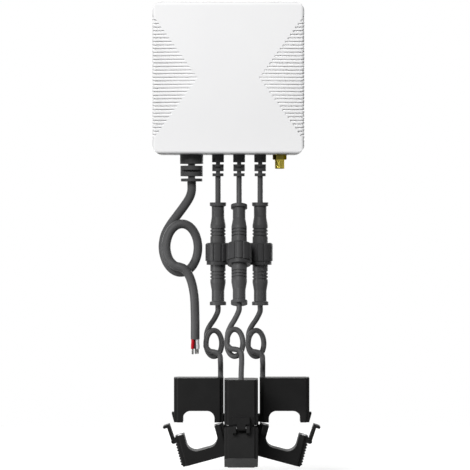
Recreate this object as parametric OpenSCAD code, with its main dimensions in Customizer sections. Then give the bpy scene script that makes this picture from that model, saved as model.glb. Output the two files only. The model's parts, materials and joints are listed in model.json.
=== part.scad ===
// Wall-mounted energy monitor: a square box with a power cord and three
// split-core current clamps on screw connectors. Millimetres, +Z up, the
// front faces -Y, and the origin is the centre of the rear wall face.

/* [Box] */
// Width of the box
box_w = 100; // [96:1:120]
// Height of the box
box_h = 100; // [96:1:120]
// Depth from the wall to the front face
box_d = 34; // [32:0.5:44]
// Corner radius of the box seen from the front
corner_r = 6; // [5:0.5:8]
// Radius of the front edges
edge_r = 2; // [1.6:0.2:3]
// Wall thickness of the box
wall = 2.5; // [2:0.1:3]
// Depth of the rear cover
cover_d = 8; // [7:0.5:10]
// Thickness of the rear cover's back plate
back_t = 3; // [2.5:0.1:3.5]
// Thickness of the gasket between shell and cover
gasket_t = 0.6; // [0.4:0.1:1]
// Radius of the corner screw shanks
screw_r = 1.5; // [1.2:0.1:1.6]
// Distance of the corner screws from the box edges
screw_inset = 8.5; // [8:0.5:10]

/* [Front grooves] */
// Grooves on each side
groove_n = 35; // [21:2:39]
// Distance between grooves
groove_pitch = 2.36; // [2.2:0.02:2.4]
// Width of a groove
groove_w = 1.1; // [0.8:0.1:1.3]
// Depth of a groove at the side of the box
groove_depth = 1.2; // [0.8:0.1:1.4]
// Depth of a groove at its inner end
groove_shallow = 0.4; // [0.3:0.1:0.6]
// Distance of each triangle's point from the middle of the front
groove_apex = 20.4; // [15:0.2:26]

/* [Wall keyholes] */
// Distance between the two keyholes
keyhole_spacing = 60; // [50:1:64]
// Radius of the round entry for the screw head
keyhole_r = 4; // [3.5:0.1:4.5]
// Width of the slot for the screw shank
keyhole_slot = 4.2; // [3.6:0.1:4.6]
// Length of the slot above the entry
keyhole_rise = 7; // [6:0.5:9]

/* [Ports] */
// Distance of the ports from the wall
port_y = 17; // [16:0.5:19]
// Place of the power port, as a share of the box width from the middle
power_place = -0.244; // [-0.28:0.002:-0.22]
// Place of the middle sensor port, as a share of the box width
sensor_place = 0.071; // [0.05:0.001:0.09]
// Distance between the sensor ports
sensor_pitch = 14; // [13.6:0.1:14.6]
// Place of the antenna jack, as a share of the box width
jack_place = 0.34; // [0.334:0.001:0.36]

/* [Power cord] */
// Diameter of the power cord
power_cord_d = 6; // [5:0.1:6.4]
// Largest diameter of the power strain relief
power_relief_d = 15.4; // [13:0.1:16]
// Diameter of an insulated core
core_d = 2.3; // [1.8:0.1:2.4]
// Length of the insulated cores past the sheath
core_l = 6.3; // [5:0.1:9]
// Length of the bare tips
tip_l = 3.6; // [2:0.1:6]

/* [Sensor leads and connectors] */
// Diameter of the sensor cords and leads
lead_d = 3.6; // [3:0.1:3.6]
// Largest diameter of a sensor strain relief
sensor_relief_d = 8; // [7:0.1:8.4]
// Length of the short lead between relief and plug
lead_l = 17.4; // [15:0.1:20]
// Extra length of the middle lead
mid_lead_extra = 2.4; // [1.5:0.1:4]
// Forward lean of the middle lead
mid_lean = 17.5; // [16:0.5:18]
// Body diameter of a connector half
plug_d = 10.2; // [9:0.1:10.4]
// Diameter of the waist of a connector half
waist_d = 8.4; // [7.4:0.1:8.8]
// Diameter of the end flange of a connector half
flange_d = 10.9; // [9.6:0.1:11.2]
// Outer diameter of the coupling nut
nut_d = 16.8; // [15:0.1:17.2]
// Length of the coupling nut
nut_l = 14.6; // [12:0.1:15]
// Flutes round the coupling nut
nut_flutes = 10; // [8:1:16]

/* [Current clamps] */
// Width of a clamp
ct_w = 32.9; // [31:0.1:34]
// Thickness of a clamp
ct_t = 22; // [18:0.2:22]
// Height of the upper housing
ct_up_h = 29.4; // [26:0.1:34]
// Height of the jaw
ct_jaw_h = 21; // [20:0.1:23]
// Width of the conductor window
window_w = 20.9; // [17:0.1:21]
// Window depth in the upper housing
window_up = 7.6; // [6:0.1:9]
// Window depth in the jaw
window_down = 13.2; // [12:0.1:14]
// Opening of the side jaws as drawn
side_open = 15; // [8:0.5:15]
// Opening of the middle jaw as drawn
mid_open = 15; // [8:0.5:15]
// Radius of the hinge pin
pin_r = 0.9; // [0.7:0.05:1]
// Radius of the hinge barrel
barrel_r = 2; // [1.8:0.1:2.2]
// Running clearance of pins in their holes
run_gap = 0.05; // [0.03:0.01:0.1]
// Clearance between pieces that move past each other
move_gap = 0.3; // [0.25:0.05:0.4]

/* [Hidden] */
$fn = 48;
SIDES = ["left", "middle", "right"];
eps = 0.01;
fit_gap = 0.1;

// Planes through the box, measured from the wall towards the front
seam_y = -cover_d;
shell_back = seam_y - gasket_t;
cavity_front = -box_d + wall;
screw_x = box_w / 2 - screw_inset;
screw_z = box_h / 2 - screw_inset;
boss_r = screw_r + 2.2;
head_r = screw_r * 1.9;
head_t = 1.6;
head_seat = -back_t + head_t + 0.4;
bottom_z = -box_h / 2;
floor_z = bottom_z + wall;
power_x = power_place * box_w;
sensor_x = sensor_place * box_w;
jack_x = jack_place * box_w;

// Board and what stands on it
board_t = 1.6;
board_back = -cover_d - 1;
board_front = board_back - board_t;
board_w = box_w - 2 * wall - 7;
board_h = box_h - 2 * wall - 7;
board_corner = 2 * screw_inset - 2;
post_x = board_w / 2 - 6;
post_z = board_h / 2 - board_corner - 4;
post_r = 3;
board_screw_r = 1.1;
module_at = [-0.22 * box_w, 0.06 * box_h];
module_size = [0.34 * box_w, 0.22 * box_h];
module_t = 0.44 * box_d;
capacitor_r = 4;
capacitor_x = [-0.28 * box_w, -0.16 * box_w];
capacitor_z = 0.26 * box_h;
capacitor_l = 0.41 * box_d;

// Strain reliefs: [length of block, gap, ring, gap, end ring]
power_steps = [6.25, 1.3, 6.9, 1.6, 1.85];
sensor_steps = [5.2, 1.4, 4.5, 1.45, 1.9];
function total(v, n) = n == 0 ? 0 : v[n - 1] + total(v, n - 1);
power_relief_end = bottom_z - total(power_steps, 5);
sensor_relief_end = bottom_z - total(sensor_steps, 5);
relief_flange_t = 2;
power_neck_d = power_relief_d * 0.65;
sensor_neck_d = sensor_relief_d * 0.75;
inner_lead_top = floor_z + relief_flange_t + 7.5;

// Antenna jack
jack_r = 3.175;
jack_nut_af = 8;
jack_nut_t = 2.9;
jack_washer_t = 0.6;
jack_l = 9.5;
jack_shank_r = 3;
jack_shank_l = 8;
jack_bore_r = 2.3;
jack_bore_l = 5;
jack_contact_r = 0.6;

// Connector stations, downwards from the top of the plug flange
plug_top = sensor_relief_end - lead_l;
flange_t = 2.2;
taper_top = 9.7;
taper_end = 15;
ring_at = 17.2;
ring_step = 2.2;
ring_n = 3;
ring_groove = 0.9;
nut_at = 26.8;
nut_lip = 1.8;
connector_l = 2 * nut_at + nut_l;
seal_t = 1;
shoulder_t = 2.2;
nut_bore_r = 6.1;
nut_collar_l = 2.6;
contact_r = 0.5;
contact_pcd = 3.6;
contact_l = 6;

// Clamp stations, in a clamp's own frame: X runs from the hinge side to the
// latch side, Z is up from the mating plane
hinge_u = -2.8;
hinge_z = -1.6;
bracket_w = 6;
bracket_h = 5.2;
ear_w = 2.2;
ear_h = 3.8;
hinge_w = bracket_w + 2 * ear_w + 2 * move_gap;
window_u = (ct_w - window_w) / 2;
window_up_r = 5;
window_down_r = 6.5;
catch_out = 1.5;
catch_z = 6.4;
latch_w = 14.4;
latch_t = 2.2;
latch_rail = 2.4;
latch_arm_u = ct_w + 0.9;
latch_u = latch_arm_u + latch_t / 2;
latch_z = -3.1;
latch_loop_z = 1;
latch_free = 4;
latch_lip = 1.6;
latch_lip_t = 1.9;
latch_tip = catch_z + move_gap + latch_lip_t;
latch_pin_r = 0.9;
cheek_t = 1.4;
cheek_r = 1.5;
cord_u = 2;
core_t = ct_t - 9;
core_leg = 2.6;
core_u = (window_u - core_leg) / 2;
core_recess = 0.1;
step_u = 1.9;
step_t = 2.2;
mate_gap = 0.15;
coil_w = 12;
coil_t = 2.3;
up_yoke_z = window_up + 1.4 + coil_t;
up_yoke_h = 5;
jaw_yoke_z = window_down + 1.4;
jaw_yoke_h = 4;

// Places of the clamps: hinge-side face, middle of the thickness, mating plane
ct_z = -227.55;
side_ct_y = -ct_t / 2 - 1;
ct_row_gap = 4;
mid_ct_y = side_ct_y - ct_t / 2 - ct_row_gap - ct_w;
ct_at = [[-3.2, side_ct_y, ct_z], [8.4, mid_ct_y, ct_z + 0.5], [20.8, side_ct_y, ct_z]];
ct_turn = [180, 90, 0];
ct_open = [side_open, mid_open, side_open];
function turned(p, a) = [p[0] * cos(a) - p[1] * sin(a), p[0] * sin(a) + p[1] * cos(a), p[2]];
function cord_end(i) = ct_at[i] + turned([cord_u, 0, ct_up_h], ct_turn[i]);

// The middle connector leans forward about a point in its lead
lean_z = sensor_relief_end - 8;
function port_x(i) = sensor_x + (i - 1) * sensor_pitch;
function lean(i) = i == 1 ? mid_lean : 0;
function drop(i) = i == 1 ? mid_lead_extra : 0;
function leaned(p, a) = [
    p[0],
    -port_y + (p[1] + port_y) * cos(a) + (p[2] - lean_z) * sin(a),
    lean_z - (p[1] + port_y) * sin(a) + (p[2] - lean_z) * cos(a)
];
function connector_end(i) = plug_top - drop(i) - connector_l;

// Swept tubes: rings square to the route, joined by triangles
function unit(v) = v / norm(v);
function heading(p, k) =
    k == 0 ? unit(p[1] - p[0]) :
    k == len(p) - 1 ? unit(p[k] - p[k - 1]) : unit(p[k + 1] - p[k - 1]);
function ring(p, k, r, n) =
    let (t = heading(p, k), a = unit(cross(t, [0, 1, 0])), b = cross(t, a))
    [for (j = [0:n - 1]) p[k] + r * (cos(360 * j / n) * a + sin(360 * j / n) * b)];
function tube_points(p, r, n) = [for (k = [0:len(p) - 1]) each ring(p, k, r, n)];
function tube_faces(m, n) = concat(
    [for (j = [1:n - 2]) [0, j + 1, j]],
    [for (k = [0:m - 2], j = [0:n - 1])
        each let (a = k * n + j, b = k * n + (j + 1) % n) [[a, b, b + n], [a, b + n, a + n]]],
    [for (j = [1:n - 2]) let (e = (m - 1) * n) [e, e + j, e + j + 1]]
);
module tube(p, d, n = 8) {
    polyhedron(tube_points(p, d / 2, n), tube_faces(len(p), n));
}

// Least gap between strands of one tube that are more than skip points apart
function self_gap(p, d, skip) =
    min([for (i = [0:len(p) - 1 - skip], j = [i + skip:len(p) - 1]) norm(p[i] - p[j])]) - d;

// Smooth stretch between two ends with given headings
function blend(a, da, b, db, n) = [for (k = [1:n - 1]) let (t = k / n, s = 1 - t)
    s * s * s * a + 3 * s * s * t * (a + da) + 3 * s * t * t * (b - db) + t * t * t * b];

// Sensor cord loop, from the connector's end: oval of one turn and a bit
loop_c = [-2.75, -25.5];
loop_r = [5.2, 8.7];
loop_back = 6.2;
loop_lead = 6.2;
loop_from = 165;
loop_to = 556;
loop_entry = [[-0.8, 0.6, -6], [-2.8, 2, -9.8], [-5.6, 4.4, -14], [-7.4, 5.9, -18.2]];
loop_exit = [
    [-5.6, -0.6, -30.4], [-2.6, -0.9, -31], [0, -1.1, -31.9], [1.4, -1.2, -33.8], [1.6, -1.2, -36.8]
];
loop_rings = 28;
function loop_at(a) = [
    loop_c[0] + loop_r[0] * cos(a),
    loop_back - loop_lead * (a - 180) / 360,
    loop_c[1] + loop_r[1] * sin(a)
];
loop_turns = [for (k = [0:loop_rings]) loop_at(loop_from + (loop_to - loop_from) * k / loop_rings)];
function to_cord(i, p) = leaned([port_x(i), -port_y, connector_end(i)] + p, lean(i));
function cord_path(i) =
    let (b = to_cord(i, loop_exit[4]), wb = unit(b - to_cord(i, loop_exit[3])),
         e = cord_end(i), e2 = e + [0, 0, lead_d])
    concat(
        [for (p = concat([[0, 0, 0], [0, 0, -lead_d]], loop_entry, loop_turns, loop_exit)) to_cord(i, p)],
        blend(b, 3 * wb, e2, [0, 0, -3], 3),
        [e2, e]);

// Power cord: straight out, round an oval whose second turn lies inside the first,
// over itself and straight down
power_loop_c = [-30.8, -111.7];
power_loop_r = [10.6, 15.6];
power_squeeze = [[150, 1.2], [180, 1.2], [270, 1.06], [330, 1], [450, 1], [540, 0.99], [580, 0.94]];
power_loop_back = 4.8;
power_loop_lead = 8;
power_loop_from = 150;
power_loop_to = 575;
power_loop_rings = 32;
power_end_y = -port_y - 5;
power_end = [-22, power_end_y, -172.5];
power_exit = [
    [-37.2, 0.5, -122.3], [-35.1, 0.3, -123.9], [-32.4, 0.1, -124.6], [-29.6, 0, -125.7],
    [-27.2, 0, -128.2], [-25.4, 0, -131.7], [-24, 0, -136], [-22.9, 0, -141.5], [-22.3, 0, -148],
    [-22, 0, -160]
];
function power_loop_at(a) = let (k = lookup(a, power_squeeze)) [
    power_loop_c[0] + k * power_loop_r[0] * cos(a),
    -port_y + power_loop_back - power_loop_lead * (a - 180) / 360,
    power_loop_c[1] + k * power_loop_r[1] * sin(a)
];
power_turns = [for (k = [0:power_loop_rings])
    power_loop_at(power_loop_from + (power_loop_to - power_loop_from) * k / power_loop_rings)];
power_path =
    let (s = [power_x, -port_y, power_relief_end], s2 = s - [0, 0, power_cord_d],
         a = power_turns[0], wa = unit(power_loop_at(power_loop_from + 1) - a))
    concat([s, s2],
        blend(s2, [0, 0, -7], a, 9 * wa, 5),
        power_turns,
        [for (p = power_exit) p + [0, power_end_y, 0]],
        [power_end + [0, 0, power_cord_d], power_end]);
echo(power_gap = self_gap(power_path, power_cord_d, 8));
echo(sensor_gap = [for (i = [0:2]) self_gap(cord_path(i), lead_d, 8)]);

// Places of the three cores in the end of the power cord
core_at = [[-1.5, -1.1], [0.3, 1.5], [1.6, -1.0]];

// Antenna pigtail inside the box, from the jack to the radio module
radio_w = 18;
radio_h = 25;
radio_t = 3.2;
radio_x = 0.2 * box_w;
radio_z = 0.22 * box_h;
pigtail_d = 1.4;
pigtail_rise = 0.25 * box_h;
pigtail_swing = 0.09 * box_w;
jack_in_z = bottom_z - jack_washer_t - jack_nut_t + 1 + jack_shank_l;
pigtail_path =
    let (s = [jack_x, -port_y, jack_in_z],
         e = [radio_x + radio_w / 2, board_front - radio_t / 2, radio_z])
    concat([s, s + [0, 0, pigtail_d]],
        blend(s + [0, 0, pigtail_d], [0, 0, pigtail_rise],
            e + [pigtail_d, 0, 0], [-pigtail_swing, 0, 0], 12),
        [e + [pigtail_d, 0, 0], e]);

function sided(name) = [for (s = SIDES) str(name, "_", s)];

// Rectangle with round corners, centred
module round_rect(w, h, r) {
    square([w - 2 * r, h], center = true);
    square([w, h - 2 * r], center = true);
    for (x = [-1, 1], z = [-1, 1]) translate([x * (w / 2 - r), z * (h / 2 - r)]) circle(r);
}

// Plate seen from the front, between two distances from the wall
module front_plate(w, h, r, y_back, y_front) {
    translate([0, y_back, 0]) rotate([90, 0, 0]) linear_extrude(y_back - y_front) round_rect(w, h, r);
}

// Cylinder along Y from y_back towards the front
module along_y(x, z, r, y_back, y_front) {
    translate([x, y_back, z]) rotate([90, 0, 0]) cylinder(r = r, h = y_back - y_front);
}

module box_block(x, z, w, h, y_back, depth) {
    translate([x - w / 2, y_back - depth, z - h / 2]) cube([w, depth, h]);
}

module at_screws() {
    for (x = [-screw_x, screw_x], z = [-screw_z, screw_z]) translate([x, 0, z]) children();
}

module at_posts() {
    for (x = [-post_x, post_x], z = [-post_z, post_z]) translate([x, 0, z]) children();
}

// Outer form of the front shell, set in by a given depth
module shell_form(inset) {
    intersection() {
        front_plate(box_w - 2 * inset, box_h - 2 * inset, corner_r - inset, shell_back, -box_d + inset);
        linear_extrude(box_h, center = true)
            round_rect(box_w - 2 * inset, 2 * (box_d - inset), edge_r - inset);
        rotate([90, 0, 90]) linear_extrude(box_w, center = true)
            round_rect(2 * (box_d - inset), box_h - 2 * inset, edge_r - inset);
    }
}

// Horizontal cuts that shorten towards the top and bottom of each triangle
module groove_cuts() {
    half = (groove_n - 1) / 2;
    reach = half * groove_pitch + groove_w;
    groove_back = shell_back - 4;
    for (side = [0, 1], k = [-half:half]) mirror([side, 0, 0]) {
        start = groove_apex + (box_w / 2 - groove_apex) * abs(k) * groove_pitch / reach;
        translate([start, -box_d - 1, k * groove_pitch - groove_w / 2])
            cube([box_w / 2 + 1 - start, box_d + 1 + groove_back, groove_w]);
    }
}

// Solid under the grooves, whose front slopes back towards the sides of the box
module groove_floor() {
    slope = (groove_depth - groove_shallow) / (box_w / 2 - groove_apex);
    ridge_x = groove_apex - groove_shallow / slope;
    side_y = -box_d + groove_depth;
    intersection() {
        shell_form(groove_shallow);
        linear_extrude(box_h, center = true) polygon([
            [-box_w / 2, 0], [-box_w / 2, side_y], [-ridge_x, -box_d], [ridge_x, -box_d],
            [box_w / 2, side_y], [box_w / 2, 0]
        ]);
    }
}

module front_shell() {
    color("whitesmoke") difference() {
        union() {
            groove_floor();
            difference() {
                shell_form(0);
                groove_cuts();
            }
        }
        difference() {
            front_plate(box_w - 2 * wall, box_h - 2 * wall, corner_r - wall, shell_back + 1, cavity_front);
            at_screws() along_y(0, 0, boss_r, shell_back + 1, cavity_front - 1);
        }
        at_screws() along_y(0, 0, screw_r + fit_gap, shell_back + 1, cavity_front + 4);
        translate([power_x, -port_y, bottom_z - 1]) cylinder(d = power_neck_d + fit_gap, h = wall + 2);
        for (i = [0:2]) translate([port_x(i), -port_y, bottom_z - 1])
            cylinder(d = sensor_neck_d + fit_gap, h = wall + 2);
        translate([jack_x, -port_y, bottom_z - 1]) cylinder(r = jack_shank_r + run_gap, h = wall + 2);
    }
}

module keyhole() {
    along_y(0, 0, keyhole_r, 1, -back_t - 1);
    along_y(0, keyhole_rise, keyhole_slot / 2, 1, -back_t - 1);
    translate([-keyhole_slot / 2, -back_t - 1, 0]) cube([keyhole_slot, back_t + 2, keyhole_rise]);
}

module rear_cover() {
    color("gainsboro") difference() {
        union() {
            difference() {
                front_plate(box_w, box_h, corner_r, 0, seam_y);
                front_plate(box_w - 2 * wall, box_h - 2 * wall, corner_r - wall, -back_t, seam_y - 1);
            }
            at_screws() along_y(0, 0, boss_r, -back_t + 1, seam_y);
            at_posts() along_y(0, 0, post_r, -back_t + 1, board_back);
        }
        at_screws() {
            along_y(0, 0, screw_r + fit_gap, 1, seam_y - 1);
            along_y(0, 0, head_r + fit_gap, 1, head_seat - head_t);
        }
        at_posts() along_y(0, 0, board_screw_r + fit_gap, -back_t, board_back - 1);
        for (x = [-1, 1]) translate([x * keyhole_spacing / 2, 0, 0]) keyhole();
    }
}

module cover_gasket() {
    gasket_hole_w = box_w - 2 * wall + 0.6;
    gasket_hole_h = box_h - 2 * wall + 0.6;
    color("dimgray") difference() {
        front_plate(box_w - 1.4, box_h - 1.4, corner_r - 0.7, seam_y, shell_back);
        front_plate(gasket_hole_w, gasket_hole_h, corner_r - wall, seam_y + 1, shell_back - 1);
    }
}

module cover_screws() {
    color("silver") at_screws() {
        along_y(0, 0, screw_r, head_seat - 1, cavity_front + 6);
        difference() {
            along_y(0, 0, head_r, head_seat, head_seat - head_t);
            translate([-head_r * 0.7, head_seat - 0.8, -0.3]) cube([head_r * 1.4, 1, 0.6]);
        }
    }
}

module main_pcb() {
    color("darkgreen") difference() {
        box_block(0, 0, board_w, board_h, board_back, board_t);
        at_screws() box_block(0, 0, board_corner, board_corner, board_back + 1, board_t + 2);
        at_posts() along_y(0, 0, board_screw_r + fit_gap, board_back + 1, board_front - 1);
    }
}

module pcb_screws() {
    color("silver") at_posts() {
        along_y(0, 0, board_screw_r, -back_t - 0.5, board_front);
        along_y(0, 0, board_screw_r * 1.9, board_front, board_front - 1.4);
    }
}

module power_module() {
    color("black")
        box_block(module_at[0], module_at[1], module_size[0], module_size[1], board_front, module_t);
}

module radio_module() {
    color("silver") box_block(radio_x, radio_z, radio_w, radio_h, board_front, radio_t);
}

module capacitors() {
    color("navy") for (x = capacitor_x)
        along_y(x, capacitor_z, capacitor_r, board_front, board_front - capacitor_l);
}

module terminal_block() {
    color("green") box_block(power_x, inner_lead_top + 6, 16, 12, board_front, port_y - 4);
}

module sensor_sockets() {
    color("ivory") for (i = [0:2]) box_block(port_x(i), inner_lead_top + 4, 9, 8, board_front, port_y - 7);
}

module inner_wires() {
    wire_z = floor_z + relief_flange_t;
    color("dimgray") {
        for (x = [-3, 0, 3]) translate([power_x + x, -port_y, wire_z])
            cylinder(d = core_d, h = inner_lead_top - wire_z);
        for (i = [0:2]) translate([port_x(i), -port_y, wire_z])
            cylinder(d = lead_d * 0.7, h = inner_lead_top - wire_z);
    }
}

module antenna_pigtail() {
    color("black") tube(pigtail_path, pigtail_d, 8);
}

module hex(af, h) {
    cylinder(d = af / cos(30), h = h, $fn = 6);
}

module sma_body() {
    hex_z = -jack_washer_t - jack_nut_t;
    color("goldenrod") translate([jack_x, -port_y, bottom_z]) difference() {
        union() {
            translate([0, 0, -jack_l]) cylinder(r = jack_r, h = jack_l + hex_z);
            translate([0, 0, hex_z]) rotate(30) hex(jack_nut_af, jack_nut_t);
            translate([0, 0, hex_z + 1]) cylinder(r = jack_shank_r, h = jack_shank_l);
        }
        translate([0, 0, -jack_l - 1]) cylinder(r = jack_bore_r, h = jack_bore_l + 1);
    }
}

module sma_washer() {
    color("gold") translate([jack_x, -port_y, bottom_z - jack_washer_t]) difference() {
        cylinder(d = jack_nut_af * 1.16, h = jack_washer_t);
        translate([0, 0, -1]) cylinder(r = jack_shank_r + run_gap, h = jack_washer_t + 2);
    }
}

module sma_nut() {
    color("gold") translate([jack_x, -port_y, floor_z]) difference() {
        hex(jack_nut_af, 2.2);
        translate([0, 0, -1]) cylinder(r = jack_shank_r + run_gap, h = 5);
    }
}

module sma_insulator() {
    color("white") translate([jack_x, -port_y, bottom_z - jack_l + 2]) difference() {
        cylinder(r = jack_bore_r - run_gap, h = jack_bore_l - 2);
        translate([0, 0, -1]) cylinder(r = jack_contact_r + run_gap, h = jack_bore_l);
    }
}

module sma_contact() {
    color("gold") translate([jack_x, -port_y, bottom_z - jack_l + 1]) difference() {
        cylinder(r = jack_contact_r, h = jack_bore_l - 1);
        translate([0, 0, -1]) cylinder(r = jack_contact_r / 2, h = 3);
    }
}

// Moulded relief: block, ring and end ring on a web, with slots between them
module relief(d, neck_d, web, steps) {
    taper = [1, 0, 0.965, 0, 0.93];
    for (k = [0, 2, 4]) translate([0, 0, -total(steps, k + 1)]) cylinder(d = d * taper[k], h = steps[k]);
    for (k = [1, 3]) translate([-web / 2, -d * 0.38, -total(steps, k + 1) - eps])
        cube([web, d * 0.76, steps[k] + 2 * eps]);
    translate([0, 0, -eps]) cylinder(d = neck_d, h = wall + 2 * eps);
    translate([0, 0, wall]) cylinder(d = neck_d * 1.4, h = relief_flange_t);
}

// Front and rear slots half way down the relief's middle ring
module relief_slots(d, web, steps) {
    mid = -total(steps, 2) - steps[2] / 2;
    for (turn = [0, 180]) rotate(turn) translate([-d / 2 - 1, web / 2, mid - steps[1] / 2])
        cube([d + 2, d, steps[1]]);
}

module power_relief() {
    color("dimgray") translate([power_x, -port_y, bottom_z]) difference() {
        relief(power_relief_d, power_neck_d, 4.6, power_steps);
        relief_slots(power_relief_d, 7, power_steps);
    }
}

module sensor_relief(i) {
    color("dimgray") translate([port_x(i), -port_y, bottom_z]) difference() {
        relief(sensor_relief_d, sensor_neck_d, 2.8, sensor_steps);
        relief_slots(sensor_relief_d, 4.2, sensor_steps);
    }
}

module power_cord() {
    color("dimgray") tube(power_path, power_cord_d, 8);
}

module power_core(k, tint) {
    color(tint) translate(power_end + [core_at[k][0], core_at[k][1], -core_l])
        cylinder(d = core_d, h = core_l);
}

module core_tips() {
    color("silver") for (c = core_at) translate(power_end + [c[0], c[1], -core_l - tip_l])
        cylinder(d = core_d * 0.55, h = tip_l);
}

// Puts a connector of the given channel in place, leaning it where it leans
module at_connector(i) {
    translate([port_x(i), -port_y, lean_z]) rotate([-lean(i), 0, 0])
        translate([0, 0, plug_top - drop(i) - lean_z]) children();
}

// Outline of a connector half from its flange to its end, turned about Z
module half_profile(end_r, end_l) {
    polygon([
        [0, 0], [flange_d / 2, 0], [flange_d / 2, -flange_t], [waist_d / 2, -flange_t - 0.6],
        [waist_d / 2, -taper_top], [plug_d / 2, -taper_end], [plug_d / 2, -nut_at - nut_lip],
        [end_r, -nut_at - nut_lip - move_gap], [end_r, -end_l], [0, -end_l]
    ]);
}

module half_body(end_r, end_l) {
    difference() {
        rotate_extrude() half_profile(end_r, end_l);
        for (k = [0:ring_n - 1]) translate([0, 0, -ring_at - k * ring_step - ring_groove]) difference() {
            cylinder(d = plug_d + 2, h = ring_groove);
            translate([0, 0, -1]) cylinder(d = plug_d - 1.2, h = ring_groove + 2);
        }
    }
}

shoulder_end = nut_at + nut_lip + move_gap + shoulder_t;
seal_end = shoulder_end + seal_t;
module contact_places() {
    for (k = [0:3]) rotate(45 + 90 * k) translate([contact_pcd / 2, 0, 0]) children();
}

module plug_body(i) {
    color("dimgray") at_connector(i) half_body(nut_bore_r - 0.2, shoulder_end);
}

module socket_body(i) {
    collar_r = nut_bore_r - 0.15;
    collar_top = -seal_end;
    collar_end = -nut_at - nut_l + 0.2;
    color("dimgray") at_connector(i) difference() {
        union() {
            translate([0, 0, -connector_l]) mirror([0, 0, 1])
                half_body(plug_d / 2 - 0.2, nut_at + nut_lip + 1);
            translate([0, 0, collar_end]) cylinder(r = collar_r, h = collar_top - collar_end);
        }
        contact_places() translate([0, 0, collar_top - contact_l])
            cylinder(r = contact_r + fit_gap, h = contact_l + 1);
    }
}

module coupling_nut(i) {
    flute_r = 0.9;
    grip_l = nut_l - nut_collar_l;
    color("dimgray") at_connector(i) translate([0, 0, -nut_at]) difference() {
        rotate_extrude() polygon([
            [0, 0], [nut_d / 2 - 1, 0], [nut_d / 2, -1], [nut_d / 2, -grip_l],
            [nut_d / 2 - 0.8, -grip_l], [nut_d / 2 - 0.8, -nut_l], [0, -nut_l]
        ]);
        for (k = [0:nut_flutes - 1]) rotate(360 * k / nut_flutes) translate([nut_d / 2 + 0.3, 0, -grip_l])
            cylinder(r = flute_r, h = grip_l + 1);
        translate([0, 0, -nut_lip - 1]) cylinder(d = plug_d + 2 * run_gap, h = nut_lip + 2);
        translate([0, 0, -nut_l - 1]) cylinder(r = nut_bore_r, h = nut_l - nut_lip + 1);
    }
}

module connector_seals() {
    color("black") for (i = [0:2]) at_connector(i) translate([0, 0, -seal_end]) difference() {
        cylinder(r = nut_bore_r - 0.5, h = seal_t);
        translate([0, 0, -1]) cylinder(r = contact_pcd / 2 + 1.6, h = seal_t + 2);
    }
}

module connector_pins() {
    color("gold") for (i = [0:2]) at_connector(i) contact_places()
        translate([0, 0, -shoulder_end - contact_l]) cylinder(r = contact_r, h = contact_l);
}

// Short lead: straight, or bent forward where the connector leans
function lead_path(i) =
    let (s = [port_x(i), -port_y, sensor_relief_end],
         e = leaned([port_x(i), -port_y, plug_top - drop(i)], lean(i)),
         e2 = leaned([port_x(i), -port_y, plug_top - drop(i) + lead_d], lean(i)),
         s2 = s - [0, 0, lead_d])
    concat([s, s2], blend(s2, [0, 0, -3.5], e2, 3.5 * unit(e - e2), 6), [e2, e]);

module sensor_lead(i) {
    color("dimgray") tube(lead_path(i), lead_d, 12);
}

module sensor_cord(i) {
    color("dimgray") tube(cord_path(i), lead_d, 8);
}

module at_clamp(i) {
    translate(ct_at[i]) rotate([0, 0, ct_turn[i]]) children();
}

// Turns a clamp's jaw about its hinge pin
module at_jaw(i) {
    at_clamp(i) translate([hinge_u, 0, hinge_z]) rotate([0, ct_open[i], 0])
        translate([-hinge_u, 0, -hinge_z]) children();
}

// Window seen along the clamp's thickness, open towards the mating plane
module window_cut(depth, r, t) {
    rotate([90, 0, 0]) linear_extrude(t, center = true) translate([ct_w / 2, 0])
        round_rect(window_w, 2 * depth, r);
}

module slab(u0, u1, z0, z1, t) {
    translate([u0, -t / 2, z0]) cube([u1 - u0, t, z1 - z0]);
}

module barrel(u, z, r, t) {
    translate([u, t / 2, z]) rotate([90, 0, 0]) cylinder(r = r, h = t);
}

// Clamp half with round vertical edges and stepped sides, between two heights
module ct_block(z0, z1) {
    translate([ct_w / 2, 0, z0]) linear_extrude(z1 - z0) {
        round_rect(ct_w - 2 * step_u, ct_t, 1);
        round_rect(ct_w, ct_t - 2 * step_t, 0.5);
    }
}

// Core half of U form: two legs from the mating plane and a yoke past the window
module core_form(yoke_z, yoke_h, grow) {
    leg_in = core_u + core_leg + grow;
    for (u = [core_u - grow, ct_w - leg_in])
        slab(u, u + core_leg + 2 * grow, core_recess, yoke_z + yoke_h + grow, core_t + 2 * grow);
    slab(core_u, ct_w - core_u, yoke_z - grow, yoke_z + yoke_h + grow, core_t + 2 * grow);
}

module coil_form(grow) {
    slab(ct_w / 2 - coil_w / 2 - grow, ct_w / 2 + coil_w / 2 + grow, up_yoke_z - coil_t - grow,
        up_yoke_z + up_yoke_h + coil_t + grow, core_t + 2 * coil_t + 2 * grow);
}

module ct_housing(i) {
    bracket_u = hinge_u - barrel_r;
    color("#262626") at_clamp(i) difference() {
        union() {
            ct_block(0, ct_up_h);
            slab(bracket_u, 1, hinge_z + barrel_r + move_gap, bracket_h, hinge_w);
            slab(bracket_u, 1, 0, bracket_h, bracket_w);
            slab(bracket_u, hinge_u + barrel_r, hinge_z, eps, bracket_w);
            barrel(hinge_u, hinge_z, barrel_r, bracket_w);
            rotate([90, 0, 0]) linear_extrude(latch_w - 2 * latch_rail - 2 * move_gap, center = true)
                polygon([
                    [ct_w - 1, 0], [ct_w, 0], [ct_w + catch_out, catch_z - 1],
                    [ct_w + catch_out, catch_z], [ct_w - 1, catch_z]
                ]);
        }
        window_cut(window_up, window_up_r, ct_t + 2);
        barrel(hinge_u, hinge_z, pin_r + run_gap, ct_t);
        core_form(up_yoke_z, up_yoke_h, fit_gap);
        translate([0, 0, -1]) core_form(up_yoke_z, up_yoke_h, fit_gap);
        coil_form(fit_gap);
    }
}

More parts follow.
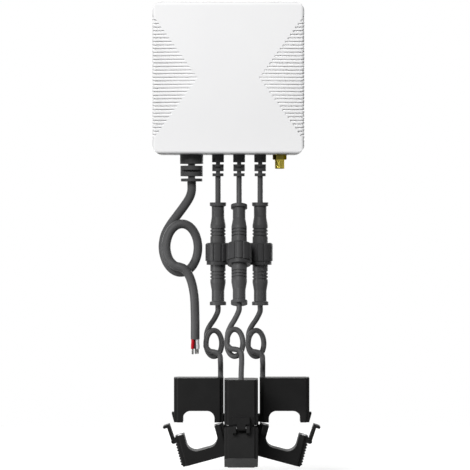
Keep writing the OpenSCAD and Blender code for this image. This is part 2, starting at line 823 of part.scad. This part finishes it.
module ct_upper_cores() {
    color("slategray") for (i = [0:2]) at_clamp(i) core_form(up_yoke_z, up_yoke_h, 0);
}

module ct_coils() {
    color("peru") for (i = [0:2]) at_clamp(i) difference() {
        coil_form(0);
        slab(0, ct_w, up_yoke_z - fit_gap, up_yoke_z + up_yoke_h + fit_gap, core_t + 2 * fit_gap);
    }
}

module ct_hinge_pins() {
    color("silver") for (i = [0:2]) at_clamp(i) barrel(hinge_u, hinge_z, pin_r, hinge_w);
}

module ct_jaw(i) {
    ear_y = bracket_w / 2 + move_gap;
    cheek_y = latch_w / 2 + move_gap;
    color("#262626") at_jaw(i) difference() {
        union() {
            ct_block(-ct_jaw_h, -mate_gap);
            for (s = [-1, 1]) translate([0, s * (ear_y + ear_w / 2), 0]) {
                slab(hinge_u - barrel_r, 1, hinge_z - ear_h, hinge_z, ear_w);
                barrel(hinge_u, hinge_z, barrel_r, ear_w);
            }
            for (s = [-1, 1]) translate([0, s * (cheek_y + cheek_t / 2), 0]) {
                slab(ct_w - 1, latch_u, latch_z - cheek_r, latch_z + cheek_r, cheek_t);
                barrel(latch_u, latch_z, cheek_r, cheek_t);
            }
        }
        window_cut(window_down, window_down_r, ct_t + 2);
        barrel(hinge_u, hinge_z, pin_r + run_gap, ct_t);
        barrel(latch_u, latch_z, latch_pin_r + run_gap, ct_t);
        jaw_core_form(fit_gap);
        translate([0, 0, 1]) jaw_core_form(fit_gap);
    }
}

// Core half under the window
module jaw_core_form(grow) {
    translate([0, 0, -mate_gap]) mirror([0, 0, 1]) core_form(jaw_yoke_z, jaw_yoke_h, grow);
}

module ct_jaw_core(i) {
    color("slategray") at_jaw(i) jaw_core_form(0);
}

// Loop that snaps over the housing's catch, drawn released, with a finger lip and a
// pivot at its foot
module ct_latch(i) {
    lip_u = latch_arm_u + latch_t + latch_lip;
    color("#303030") at_jaw(i) translate([latch_u, 0, latch_z]) rotate([0, latch_free, 0])
        translate([-latch_u, 0, -latch_z]) {
            difference() {
                slab(latch_arm_u, latch_arm_u + latch_t, latch_z, latch_tip, latch_w);
                slab(ct_w, lip_u, latch_loop_z, catch_z + move_gap, latch_w - 2 * latch_rail);
            }
            barrel(latch_u, latch_z, latch_t * 0.65, latch_w);
            barrel(latch_u, latch_z, latch_pin_r, latch_w + 2 * cheek_t);
            slab(latch_arm_u, lip_u, latch_tip - latch_lip_t, latch_tip, latch_w);
            barrel(lip_u, latch_tip - latch_lip_t / 2, latch_lip_t / 2, latch_w);
        }
}

front_shell();
rear_cover();
cover_gasket();
cover_screws();
main_pcb();
pcb_screws();
power_module();
radio_module();
capacitors();
terminal_block();
sensor_sockets();
inner_wires();
antenna_pigtail();
sma_body();
sma_washer();
sma_nut();
sma_insulator();
sma_contact();
power_relief();
power_cord();
power_core(0, "red");  // power_core_red
power_core(1, "black");  // power_core_black
power_core(2, "white");  // power_core_white
core_tips();
connector_pins();
connector_seals();
ct_hinge_pins();
ct_upper_cores();
ct_coils();
for (i = [0:2]) {
    sensor_relief(i);
    sensor_lead(i);
    plug_body(i);
    coupling_nut(i);
    socket_body(i);
    sensor_cord(i);
    ct_housing(i);
    ct_jaw(i);
    ct_latch(i);
    ct_jaw_core(i);
}
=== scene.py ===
"""Looks of a wall-mounted energy monitor with a power cord and three current clamps.

The frame is that of the CAD part: +Z up, the front faces -Y, the wall is at y = 0.
Sizes of the part are in millimetres and are scaled by MM. Sizes of the studio are in metres.
Angles are in degrees, but the strands' twist and phase are in radians.
"""
import json
import math

import bmesh
import bpy
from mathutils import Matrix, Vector


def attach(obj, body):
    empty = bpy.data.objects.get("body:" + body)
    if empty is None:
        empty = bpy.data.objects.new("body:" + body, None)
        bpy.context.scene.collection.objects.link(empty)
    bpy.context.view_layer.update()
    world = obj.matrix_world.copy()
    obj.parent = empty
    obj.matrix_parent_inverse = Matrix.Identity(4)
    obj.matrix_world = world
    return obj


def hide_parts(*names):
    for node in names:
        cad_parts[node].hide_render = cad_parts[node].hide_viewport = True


MM = 0.001
SIDES = ("left", "middle", "right")
DOWN = Vector((0, 0, -1))

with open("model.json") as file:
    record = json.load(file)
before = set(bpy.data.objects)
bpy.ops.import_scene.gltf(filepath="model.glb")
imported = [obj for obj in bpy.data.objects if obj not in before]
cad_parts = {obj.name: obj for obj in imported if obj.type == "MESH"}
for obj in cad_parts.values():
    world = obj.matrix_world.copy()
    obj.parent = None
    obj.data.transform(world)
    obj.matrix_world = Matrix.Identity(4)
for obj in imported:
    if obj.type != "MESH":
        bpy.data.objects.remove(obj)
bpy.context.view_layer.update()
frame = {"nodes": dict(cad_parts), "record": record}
scene = bpy.context.scene
nodes = frame["nodes"]

# Camera: straight on, with its view measured in the plane of the box's front
VIEW_WIDTH = 309.3
VIEW_CENTRE = (4.38, -103.47)
VIEW_DISTANCE = 2000
FRONT_Y = -34
SENSOR = 36.0
CLIP_START = 50
camera_data = bpy.data.cameras.new("camera")
camera_data.sensor_width = SENSOR
camera_data.lens = SENSOR * VIEW_DISTANCE / VIEW_WIDTH
camera_data.clip_start = CLIP_START * MM
camera = bpy.data.objects.new("camera", camera_data)
camera.location = (VIEW_CENTRE[0] * MM, (FRONT_Y - VIEW_DISTANCE) * MM, VIEW_CENTRE[1] * MM)
camera.rotation_euler = (math.pi / 2, 0, 0)
scene.collection.objects.link(camera)
scene.camera = camera
scene.view_settings.view_transform = "Standard"

# Sensor channels, as in the part's source: only the middle one leans forward and hangs lower
PORT_Y = -17.0
PORT_X = {"left": -6.9, "middle": 7.1, "right": 21.1}
RELIEF_END = -64.45
PLUG_TOP = -81.85
CONNECTOR_L = 68.2
LEAN = {"left": 0.0, "middle": 17.5, "right": 0.0}
LEAN_BELOW = 8
LEAN_Z = RELIEF_END - LEAN_BELOW
DROP = {"left": 0.0, "middle": 2.4, "right": 0.0}
LEAD_D = 3.6
LEAD_PULL = 3.5
LEAD_RINGS = 6

# Clamps: each has its own frame, with X from the hinge side to the latch side
CLAMP_AT = {"left": (-3.2, -12, -227.55), "middle": (8.4, -59.9, -227.05), "right": (20.8, -12, -227.55)}
CLAMP_TURN = {"left": 180, "middle": 90, "right": 0}
CLAMP_OPEN = 15
CLAMP_W = 32.9
HINGE = (-2.8, -1.6)
CORD_IN = (2, 0, 29.4)

# Sensor cord: points below the connector's end, with one oval turn between entry and exit
LOOP_C = (-2.75, -25.5)
LOOP_R = (5.2, 8.7)
LOOP_BACK = 6.2
LOOP_LEAD = 6.2
LOOP_SPAN = (165, 556)
LOOP_RINGS = 28
LOOP_ENTRY = ((0, 0, 0), (0, 0, -3.6), (-0.8, 0.6, -6), (-2.8, 2, -9.8), (-5.6, 4.4, -14),
              (-7.4, 5.9, -18.2))
LOOP_EXIT = ((-5.6, -0.6, -30.4), (-2.6, -0.9, -31), (0, -1.1, -31.9), (1.4, -1.2, -33.8),
             (1.6, -1.2, -36.8))
DROP_PULL = 3
DROP_RINGS = 3

# Power cord: one oval turn that shrinks as it goes round, so that its end lies inside its start
POWER_X = -24.4
POWER_D = 6.0
POWER_RELIEF_END = -67.9
POWER_PULL = (7, 9)
POWER_BEND_RINGS = 5
POWER_LOOP_C = (-30.8, -111.7)
POWER_LOOP_R = (10.6, 15.6)
POWER_SQUEEZE = ((150, 1.2), (180, 1.2), (270, 1.06), (330, 1), (450, 1), (540, 0.99), (580, 0.94))
POWER_LOOP_BACK = 4.8
POWER_LOOP_LEAD = 8.0
POWER_LOOP_SPAN = (150, 575)
POWER_RINGS = 32
POWER_END = Vector((-22, -22, -172.5))
POWER_EXIT = ((-37.2, 0.5, -122.3), (-35.1, 0.3, -123.9), (-32.4, 0.1, -124.6), (-29.6, 0, -125.7),
              (-27.2, 0, -128.2), (-25.4, 0, -131.7), (-24, 0, -136), (-22.9, 0, -141.5), (-22.3, 0, -148),
              (-22, 0, -160))

# Tubes and meshes
ROUTE_PARTS = 4
TUBE_RESOLUTION = 5
SHARP_ANGLE = 40
WELD = 0.0001


def blend_points(a, da, b, db, n):
    """Smooth stretch between two ends with given headings, without the ends."""
    out = []
    for k in range(1, n):
        t = k / n
        s = 1 - t
        out.append(s**3 * a + 3 * s * s * t * (a + da) + 3 * s * t * t * (b - db) + t**3 * b)
    return out


def leaned(p, side):
    """A point of a connector, leaned forward where that connector leans."""
    turn = math.radians(LEAN[side])
    y, z = p[1] - PORT_Y, p[2] - LEAN_Z
    return Vector((p[0], PORT_Y + y * math.cos(turn) + z * math.sin(turn),
                   LEAN_Z - y * math.sin(turn) + z * math.cos(turn)))


def in_clamp(p, side):
    """A point of a clamp's own frame, in the part's frame."""
    turn = math.radians(CLAMP_TURN[side])
    x = p[0] * math.cos(turn) - p[1] * math.sin(turn)
    y = p[0] * math.sin(turn) + p[1] * math.cos(turn)
    return Vector(CLAMP_AT[side]) + Vector((x, y, p[2]))


def in_jaw(p, side):
    """A point of a closed jaw in its clamp's frame, opened and in the part's frame."""
    turn = math.radians(CLAMP_OPEN)
    u, z = p[0] - HINGE[0], p[2] - HINGE[1]
    return in_clamp((HINGE[0] + u * math.cos(turn) + z * math.sin(turn), p[1],
                     HINGE[1] - u * math.sin(turn) + z * math.cos(turn)), side)


def oval(centre, radii, back, lead, angle):
    """A point of an oval turn that comes forward by its lead as it goes round."""
    a = math.radians(angle)
    return Vector((centre[0] + radii[0] * math.cos(a), back - lead * (angle - 180) / 360,
                   centre[1] + radii[1] * math.sin(a)))


def loop_at(angle):
    """A point of a sensor cord's turn, from the connector's end."""
    return oval(LOOP_C, LOOP_R, LOOP_BACK, LOOP_LEAD, angle)


def squeeze(angle):
    """Size of the power cord's oval at an angle."""
    for (a, ka), (b, kb) in zip(POWER_SQUEEZE, POWER_SQUEEZE[1:]):
        if angle <= b:
            return ka + (kb - ka) * (angle - a) / (b - a)
    return POWER_SQUEEZE[-1][1]


def power_loop_at(angle):
    """A point of the power cord's turn."""
    radii = [r * squeeze(angle) for r in POWER_LOOP_R]
    return oval(POWER_LOOP_C, radii, PORT_Y + POWER_LOOP_BACK, POWER_LOOP_LEAD, angle)


def steps(span, count):
    """Even steps over a span, with both of its ends."""
    return [span[0] + (span[1] - span[0]) * k / count for k in range(count + 1)]


def sensor_route(side):
    """From a connector's lower end, round one turn and down into the clamp."""
    origin = Vector((PORT_X[side], PORT_Y, PLUG_TOP - DROP[side] - CONNECTOR_L))
    turns = [loop_at(a) for a in steps(LOOP_SPAN, LOOP_RINGS)]
    points = [leaned(origin + Vector(p), side) for p in (*LOOP_ENTRY, *turns, *LOOP_EXIT)]
    heading = (points[-1] - points[-2]).normalized()
    end = in_clamp(CORD_IN, side)
    above = end - LEAD_D * DOWN
    bend = blend_points(points[-1], DROP_PULL * heading, above, DROP_PULL * DOWN, DROP_RINGS)
    return points + bend + [above, end]


def lead_route(side):
    """From a strain relief down to its connector, bent where the connector leans."""
    start = Vector((PORT_X[side], PORT_Y, RELIEF_END))
    below = start + LEAD_D * DOWN
    top = PLUG_TOP - DROP[side]
    end = leaned((PORT_X[side], PORT_Y, top), side)
    above = leaned((PORT_X[side], PORT_Y, top + LEAD_D), side)
    heading = (end - above).normalized()
    bend = blend_points(below, LEAD_PULL * DOWN, above, LEAD_PULL * heading, LEAD_RINGS)
    return [start, below] + bend + [above, end]


def power_route():
    """From the power strain relief, round one turn and down to the end of the sheath."""
    start = Vector((POWER_X, PORT_Y, POWER_RELIEF_END))
    below = start + POWER_D * DOWN
    turns = [power_loop_at(a) for a in steps(POWER_LOOP_SPAN, POWER_RINGS)]
    one_degree_on = power_loop_at(POWER_LOOP_SPAN[0] + 1)
    into = (one_degree_on - turns[0]).normalized()
    bend = blend_points(below, POWER_PULL[0] * DOWN, turns[0], POWER_PULL[1] * into, POWER_BEND_RINGS)
    out = [Vector((x, POWER_END.y + y, z)) for x, y, z in POWER_EXIT]
    return [start, below] + bend + turns + out + [POWER_END - POWER_D * DOWN, POWER_END]


def smooth_route(points, parts=ROUTE_PARTS):
    """Catmull-Rom points through a route, with its ends kept."""
    ext = [2 * points[0] - points[1]] + list(points) + [2 * points[-1] - points[-2]]
    out = []
    for k in range(1, len(ext) - 2):
        p0, p1, p2, p3 = ext[k - 1:k + 3]
        for j in range(parts):
            t = j / parts
            out.append(0.5 * (2 * p1 + (p2 - p0) * t + (2 * p0 - 5 * p1 + 4 * p2 - p3) * t * t
                              + (3 * p1 - p0 - 3 * p2 + p3) * t**3))
    return out + [points[-1]]


def curve_tube(name, diameter, *routes):
    """Round tubes of one diameter along routes, as one curve with a spline for each."""
    data = bpy.data.curves.new(name, "CURVE")
    data.dimensions = "3D"
    data.bevel_depth = diameter / 2 * MM
    data.bevel_resolution = TUBE_RESOLUTION
    data.use_fill_caps = True
    for points in routes:
        spline = data.splines.new("POLY")
        spline.points.add(len(points) - 1)
        for p, target in zip(points, spline.points):
            target.co = (*(p * MM), 1)
        spline.use_smooth = True
    obj = bpy.data.objects.new(name, data)
    scene.collection.objects.link(obj)
    return obj


def mesh_piece(name, rings):
    """A mesh through rings of equal count, with both ends closed and sharp edges kept."""
    n = len(rings[0])
    last = (len(rings) - 1) * n
    verts = [tuple(Vector(p) * MM) for ring in rings for p in ring]
    faces = [(k * n + j, k * n + (j + 1) % n, (k + 1) * n + (j + 1) % n, (k + 1) * n + j)
             for k in range(len(rings) - 1) for j in range(n)]
    faces.append(tuple(range(n))[::-1])
    faces.append(tuple(range(last, last + n)))
    data = bpy.data.meshes.new(name)
    data.from_pydata(verts, [], faces)
    bm = bmesh.new()
    bm.from_mesh(data)
    bmesh.ops.remove_doubles(bm, verts=bm.verts, dist=WELD * MM)
    bmesh.ops.recalc_face_normals(bm, faces=bm.faces)
    bm.to_mesh(data)
    bm.free()
    data.shade_smooth()
    data.set_sharp_from_angle(angle=math.radians(SHARP_ANGLE))
    obj = bpy.data.objects.new(name, data)
    scene.collection.objects.link(obj)
    return obj


# Shader nodes: noise is stretched over the range that it mostly fills
NOISE_RANGE = (0.3, 0.7)
MOTTLE_DETAIL = 4
GRAIN_DETAIL = 2
GLOSS_SPREAD = 0.1
BUMP_DEPTH = 0.2
BEVEL_SAMPLES = 4


def set_inputs(tree, node, values):
    """Sets a node's inputs, by name or number, to values or to outputs of other nodes."""
    for key, value in values.items():
        if isinstance(value, bpy.types.NodeSocket):
            tree.links.new(value, node.inputs[key])
        else:
            node.inputs[key].default_value = value


def add_node(tree, kind, values, operation=None):
    """A new shader node with its inputs set."""
    node = tree.nodes.new("ShaderNode" + kind)
    if operation:
        node.operation = operation
    set_inputs(tree, node, values)
    return node


def noise(tree, place, scale, detail):
    return add_node(tree, "TexNoise", {"Vector": place, "Scale": scale, "Detail": detail}).outputs["Fac"]


def mottled(tree, place, color, scale, strength):
    """A colour in patches, a little darker and a little lighter than asked for."""
    ramp = add_node(tree, "ValToRGB", {"Fac": noise(tree, place, scale, MOTTLE_DETAIL)})
    for stop, position, share in zip(ramp.color_ramp.elements, NOISE_RANGE, (1 - strength, 1 + strength)):
        stop.position = position
        stop.color = (*[min(1, c * share) for c in color], 1)
    return ramp.outputs["Color"]


def shade_above(tree, place, tint, low, high, share):
    """Painted shade: a colour that fades to a share of itself between two heights."""
    height = add_node(tree, "SeparateXYZ", {0: place}).outputs["Z"]
    fade = add_node(tree, "MapRange", {"Value": height, "From Min": low * MM, "From Max": high * MM,
                                       "To Min": 1, "To Max": share}).outputs["Result"]
    return add_node(tree, "VectorMath", {0: tint, "Scale": fade}, operation="SCALE").outputs["Vector"]


def material(name, color, rough, metallic=0.0, specular=0.5, mottle=(60, 0.06), grain=(900, 0.05),
             edge=0.25, rim=None, painted_shade=None):
    """One recipe for all finishes: mottled colour, grained gloss and soft edges.

    mottle and grain are a scale and a strength, edge is a radius, rim is the tint of grazing
    reflections, and the shade argument is two heights and the share of the colour above them, a painted
    shade that dims the colour where the part lies in shade.
    """
    mat = bpy.data.materials.new(name)
    mat.use_nodes = True
    tree = mat.node_tree
    place = tree.nodes.new("ShaderNodeTexCoord").outputs["Object"]
    tint = mottled(tree, place, color, *mottle)
    # Painted shade: the colour is dimmed above the given heights, standing in for the shade that falls
    # there
    if painted_shade:
        tint = shade_above(tree, place, tint, *painted_shade)
    speck = noise(tree, place, grain[0], GRAIN_DETAIL)
    gloss = add_node(tree, "MapRange", {
        "Value": speck, "From Min": NOISE_RANGE[0], "From Max": NOISE_RANGE[1],
        "To Min": rough * (1 - GLOSS_SPREAD), "To Max": min(1, rough * (1 + GLOSS_SPREAD))})
    bump = add_node(tree, "Bump", {"Height": speck, "Strength": grain[1], "Distance": BUMP_DEPTH * MM})
    if edge:
        bevel = add_node(tree, "Bevel", {"Radius": edge * MM})
        bevel.samples = BEVEL_SAMPLES
        set_inputs(tree, bump, {"Normal": bevel.outputs["Normal"]})
    shader = tree.nodes["Principled BSDF"]
    set_inputs(tree, shader, {
        "Base Color": tint, "Metallic": metallic, "Specular IOR Level": specular,
        "Roughness": gloss.outputs["Result"], "Normal": bump.outputs["Normal"]})
    if rim:
        shader.inputs["Specular Tint"].default_value = (*rim, 1)
    return mat


# Finishes, under the slot names of the part's record
RECIPES = {
    "shell_white": dict(color=(0.84, 0.84, 0.845), rough=0.5, mottle=(25, 0.01), grain=(1400, 0.04)),
    "cover_white": dict(color=(0.8, 0.8, 0.805), rough=0.55, mottle=(25, 0.015), grain=(1400, 0.05)),
    "gasket_rubber": dict(color=(0.03, 0.03, 0.03), rough=0.75),
    "screw_steel": dict(color=(0.62, 0.62, 0.62), rough=0.32, metallic=1),
    "board_green": dict(color=(0.02, 0.13, 0.05), rough=0.4, mottle=(120, 0.2), edge=0),
    "module_black": dict(color=(0.02, 0.02, 0.022), rough=0.5),
    "radio_can": dict(color=(0.66, 0.66, 0.66), rough=0.35, metallic=1),
    "capacitor_sleeve": dict(color=(0.02, 0.025, 0.09), rough=0.3),
    "terminal_green": dict(color=(0.04, 0.28, 0.1), rough=0.45),
    "socket_ivory": dict(color=(0.75, 0.7, 0.58), rough=0.5),
    "wire_grey": dict(color=(0.08, 0.08, 0.082), rough=0.5),
    # The jack's hex flange and shank are dimmed to a quarter of the gold above z -53.2 mm: painted shade
    # of the box above them
    "jack_gold": dict(color=(0.4, 0.33, 0.06), rough=0.24, metallic=1, mottle=(300, 0.08),
                      rim=(0.25, 0.2, 0.08), painted_shade=(-53.7, -53.2, 0.25)),
    "jack_insulator": dict(color=(0.82, 0.82, 0.8), rough=0.4),
    "relief_rubber": dict(color=(0.05, 0.05, 0.051), rough=0.5, specular=0.1, grain=(1100, 0.1)),
    "cord_rubber": dict(color=(0.064, 0.064, 0.065), rough=0.45, specular=0.1, grain=(1300, 0.08), edge=0),
    "core_red": dict(color=(0.33, 0.004, 0.01), rough=0.4, specular=0.1, edge=0),
    "core_black": dict(color=(0.02, 0.02, 0.02), rough=0.35, edge=0),
    "core_white": dict(color=(0.4, 0.4, 0.405), rough=0.4, specular=0.1, edge=0),
    "tinned_wire": dict(color=(0.1, 0.098, 0.095), rough=0.35, metallic=1, edge=0),
    "connector_grey": dict(color=(0.053, 0.053, 0.054), rough=0.42, specular=0.1, grain=(1200, 0.06)),
    "nut_grey": dict(color=(0.036, 0.036, 0.037), rough=0.42, specular=0.1, grain=(1200, 0.06)),
    "clamp_black": dict(color=(0.0125, 0.0125, 0.0125), rough=0.5, specular=0.04, mottle=(80, 0.1),
                        grain=(1000, 0.12), edge=0.4),
    "core_steel": dict(color=(0.35, 0.35, 0.36), rough=0.35, metallic=1),
    "coil_copper": dict(color=(0.55, 0.22, 0.09), rough=0.35, metallic=1),
}
LOOKS = {name: material(name, **recipe) for name, recipe in RECIPES.items()}
for row in frame["record"]["subparts"]:
    for slot in nodes[row["node"]].material_slots:
        slot.material = LOOKS[row["material_slot"]]


def dress(obj, body, slot, *replaced):
    """Gives a piece its body, its finish and the CAD nodes that it stands for."""
    obj.data.materials.clear()
    obj.data.materials.append(LOOKS[slot])
    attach(obj, body)
    if replaced:
        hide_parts(*replaced)
    return obj


# Cords and leads
power_points = smooth_route(power_route())
power_cord = dress(curve_tube("power_cord_sheath", POWER_D, power_points), "root", "cord_rubber",
                   "power_cord")
for side in SIDES:
    cord_points = smooth_route(sensor_route(side))
    cord = dress(curve_tube("sensor_cord_sheath_" + side, LEAD_D, cord_points), "root", "cord_rubber",
                 "sensor_cord_" + side)
    lead_points = smooth_route(lead_route(side))
    dress(curve_tube("sensor_lead_sheath_" + side, LEAD_D, lead_points), "root", "cord_rubber",
          "sensor_lead_" + side)

# Antenna jack: threaded barrel with its bore, hex flange and shank, at heights from the box's underside
JACK = (34.0, -17.0, -50.0)
JACK_SIDES = 48
JACK_R = 3.175
JACK_END = -9.5
BORE_R = 2.3
BORE_L = 5
MOUTH_R = 2.725
MOUTH_L = 0.12
NECK_R = 2.875
HEX = (-3.5, -0.6)
HEX_AF = 8.0
HEX_CORNER_R = 4.62
HEX_CHAMFER_R = 4.2
HEX_CHAMFER_L = 0.35
SHANK_R = 3.0
SHANK_TOP = 5.5
THREAD_PITCH = 0.706
THREAD_DEPTH = 0.2
THREAD_STEPS = 8
THREAD_RUNOUT = 0.2


def jack_ring(radius, z):
    """A ring of the jack, whose radius is a number or a function of the angle."""
    out = []
    for j in range(JACK_SIDES):
        a = 2 * math.pi * j / JACK_SIDES
        r = radius(a) if callable(radius) else radius
        out.append((JACK[0] + r * math.cos(a), JACK[1] + r * math.sin(a), JACK[2] + z))
    return out


def hex_radius(corner):
    """A hexagon whose corners are cut to a radius."""
    def radius(a):
        sector = a % (math.pi / 3) - math.pi / 6
        return min(HEX_AF / 2 / math.cos(sector), corner)
    return radius


def thread_radius(z):
    """A rounded thread that runs out just before the hexagon."""
    def radius(a):
        turn = (z / THREAD_PITCH - a / (2 * math.pi)) % 1
        fade = min(1, max(0, (HEX[0] - z) / THREAD_PITCH - THREAD_RUNOUT))
        return JACK_R - THREAD_DEPTH * (0.5 - 0.5 * math.cos(2 * math.pi * turn)) * fade
    return radius


def jack_rings():
    """From inside the bore, round the mouth and up to the top of the shank."""
    mouth = [(BORE_R, JACK_END + BORE_L), (BORE_R, JACK_END), (MOUTH_R, JACK_END)]
    thread_end = JACK_END + MOUTH_L
    step = THREAD_PITCH / THREAD_STEPS
    heights = [thread_end + k * step for k in range(math.ceil((HEX[0] - thread_end) / step))]
    thread = [(thread_radius(z), z) for z in heights]
    flange = [(NECK_R, HEX[0]), (hex_radius(HEX_CHAMFER_R), HEX[0]),
              (hex_radius(HEX_CORNER_R), HEX[0] + HEX_CHAMFER_L), (hex_radius(HEX_CORNER_R), HEX[1])]
    shank = [(SHANK_R, HEX[1]), (SHANK_R, SHANK_TOP)]
    return [jack_ring(radius, z) for radius, z in mouth + thread + flange + shank]


dress(mesh_piece("jack_threaded_body", jack_rings()), "root", "jack_gold", "sma_body")

# Cores of the power cord: insulation that splays by a share of each core's place, and bare strands
CORES = {"red": (-1.5, -1.1), "black": (0.3, 1.5), "white": (1.6, -1.0)}
CORE_D = 2.3
CORE_L = 6.3
CORE_SPLAY = 0.1
CORE_BELLY = 0.06
CORE_STRAIGHT = 0.35
CORE_BELLY_DROP = 0.2
STRANDS = 7
STRAND_D = 0.46
STRAND_L = 3.6
STRAND_STATIONS = (-0.1, 0.3, 0.65, 1)
STRAND_PARTS = 2
STRAND_TWIST = 0.5
STRAND_UNEVEN = 0.1
STRAND_PHASE = 3


def core_route(at):
    """One core, from the end of the sheath to its bare end."""
    foot = POWER_END + Vector((*at, 0))
    tip = foot + Vector((CORE_SPLAY * at[0], CORE_SPLAY * at[1], -CORE_L))
    straight = foot + CORE_STRAIGHT * CORE_L * DOWN
    belly = (foot + tip) / 2 + Vector((CORE_BELLY * at[0], 0, -CORE_BELLY_DROP * CORE_L))
    return [foot, straight, belly, tip]


def strand_route(tip, core, strand):
    """One bare strand: the last is straight, the rest twist round it, and their lengths are uneven."""
    start = 2 * math.pi * strand / (STRANDS - 1)
    reach = 0 if strand == STRANDS - 1 else STRAND_D
    share = 1 - STRAND_UNEVEN + STRAND_UNEVEN * math.cos(STRAND_PHASE * strand + core)
    out = []
    for t in STRAND_STATIONS:
        a = start + STRAND_TWIST * t
        out.append(tip + Vector((reach * math.cos(a), reach * math.sin(a), -STRAND_L * share * t)))
    return out


strand_routes = []
for core, (tint, at) in enumerate(CORES.items()):
    route = core_route(at)
    insulation = curve_tube("core_insulation_" + tint, CORE_D, smooth_route(route))
    dress(insulation, "root", "core_" + tint, "power_core_" + tint)
    for strand in range(STRANDS):
        strand_routes.append(smooth_route(strand_route(route[-1], core, strand), STRAND_PARTS))
strands = curve_tube("core_strands", STRAND_D, *strand_routes)
dress(strands, "root", "tinned_wire", "core_tips")

# Finger grips: ribs on the latch side of each jaw, whose teeth are a height and a share of the pitch
GRIP_W = 13.0
GRIP_TOP = -5.4
GRIP_PITCH = 1.9
GRIP_TEETH = 8
GRIP_SUNK = 0.3
GRIP_END_L = 0.5
GRIP_END_SHARE = 0.4
TOOTH = ((0, 0), (1.04, 0.18), (1.3, 0.34), (1.04, 0.5), (0.1, 0.94))


def grip_rings(side):
    """Outlines of a grip across its jaw, lower at both ends."""
    foot = GRIP_TOP - GRIP_PITCH * GRIP_TEETH
    outline = [(out, GRIP_TOP - GRIP_PITCH * (k + down)) for k in range(GRIP_TEETH) for out, down in TOOTH]
    outline += [(-GRIP_SUNK, foot), (-GRIP_SUNK, GRIP_TOP)]
    half = GRIP_W / 2
    stations = ((-half, GRIP_END_SHARE), (-half + GRIP_END_L, 1), (half - GRIP_END_L, 1),
                (half, GRIP_END_SHARE))
    return [[in_jaw((CLAMP_W + out * share, y, z), side) for out, z in outline] for y, share in stations]


for side in SIDES:
    dress(mesh_piece("jaw_grip_" + side, grip_rings(side)), "jaw_" + side, "clamp_black")

# Studio: a dim white sky and a pale floor, both shown white to the camera and in reflections
WHITE = (1, 1, 1, 1)
SKY_LIT = 0.1
SKY_SHOWN = 1
FLOOR_Z = -0.2645
FLOOR_HALF = 0.5
FLOOR_CORNERS = ((-1, -1), (1, -1), (1, 1), (-1, 1))
FLOOR_LIT = (0.1, 0.1, 0.1, 1)
FLOOR_ROUGH = 0.9
FLOOR_GLOW = 0.68
FLOOR_PAINT = (0.6, 0.6, 0.6, 1)


def show_white(tree, lit, shown, out):
    """Camera, glossy and transmission rays meet the shown shader, and all others the lit one."""
    path = tree.nodes.new("ShaderNodeLightPath")
    seen = path.outputs["Is Camera Ray"]
    for ray in ("Is Glossy Ray", "Is Transmission Ray"):
        seen = add_node(tree, "Math", {0: seen, 1: path.outputs[ray]}, operation="MAXIMUM").outputs[0]
    mix = add_node(tree, "MixShader", {"Fac": seen, 1: lit.outputs[0], 2: shown.outputs[0]})
    set_inputs(tree, out, {"Surface": mix.outputs[0]})


world = bpy.data.worlds.new("studio")
scene.world = world
world.use_nodes = True
sky_tree = world.node_tree
sky_lit = sky_tree.nodes["Background"]
set_inputs(sky_tree, sky_lit, {"Color": WHITE, "Strength": SKY_LIT})
sky_shown = add_node(sky_tree, "Background", {"Color": WHITE, "Strength": SKY_SHOWN})
show_white(sky_tree, sky_lit, sky_shown, sky_tree.nodes["World Output"])

# The shown floor is white only where the lamps reach it, so the part's shadow stays on it
floor_mesh = bpy.data.meshes.new("floor")
floor_verts = [(x * FLOOR_HALF, y * FLOOR_HALF, FLOOR_Z) for x, y in FLOOR_CORNERS]
floor_mesh.from_pydata(floor_verts, [], [(0, 1, 2, 3)])
floor = bpy.data.objects.new("floor", floor_mesh)
scene.collection.objects.link(floor)
pale = bpy.data.materials.new("floor_pale")
pale.use_nodes = True
pale_tree = pale.node_tree
floor_lit = pale_tree.nodes["Principled BSDF"]
set_inputs(pale_tree, floor_lit, {"Base Color": FLOOR_LIT, "Roughness": FLOOR_ROUGH})
glow = add_node(pale_tree, "Emission", {"Color": WHITE, "Strength": FLOOR_GLOW})
paint = add_node(pale_tree, "BsdfDiffuse", {"Color": FLOOR_PAINT})
floor_shown = add_node(pale_tree, "AddShader", {0: glow.outputs[0], 1: paint.outputs[0]})
show_white(pale_tree, floor_lit, floor_shown, pale_tree.nodes["Material Output"])
floor_mesh.materials.append(pale)

# Lamps: soft light from the upper left, and narrow beams below the box
SPOT_BLEND = 0.4


def add_lamp(data, place, target):
    """Puts a lamp in its place and turns it to its target."""
    obj = bpy.data.objects.new(data.name, data)
    obj.location = place
    obj.rotation_euler = (Vector(target) - Vector(place)).to_track_quat("-Z", "Y").to_euler()
    scene.collection.objects.link(obj)


def area_light(name, place, target, size, power):
    data = bpy.data.lights.new(name, "AREA")
    data.energy = power
    data.size = size
    add_lamp(data, place, target)


def spot_light(name, place, target, power, angle, soft):
    data = bpy.data.lights.new(name, "SPOT")
    data.energy = power
    data.spot_size = math.radians(angle)
    data.spot_blend = SPOT_BLEND
    data.shadow_soft_size = soft
    add_lamp(data, place, target)


area_light("key", place=(-0.55, -1.35, 0.75), target=(0, -0.03, -0.1), size=0.8, power=29.7)
area_light("back", place=(-0.25, 0.9, 0.25), target=(0, 0, -0.2), size=0.7, power=3)
area_light("side", place=(0.65, 1.1, 0.1), target=(0, 0, -0.1), size=0.5, power=5)
# The near sides of the cords and clamps, and the right clamp's face
spot_light("beam", place=(-0.98, -0.5, -0.22), target=(0, -0.03, -0.185), power=34, angle=12, soft=0.05)
spot_light("clamp_fill", place=(1.04, -1.02, -0.2), target=(0.037, -0.023, -0.222), power=45, angle=4.5,
           soft=0.1)
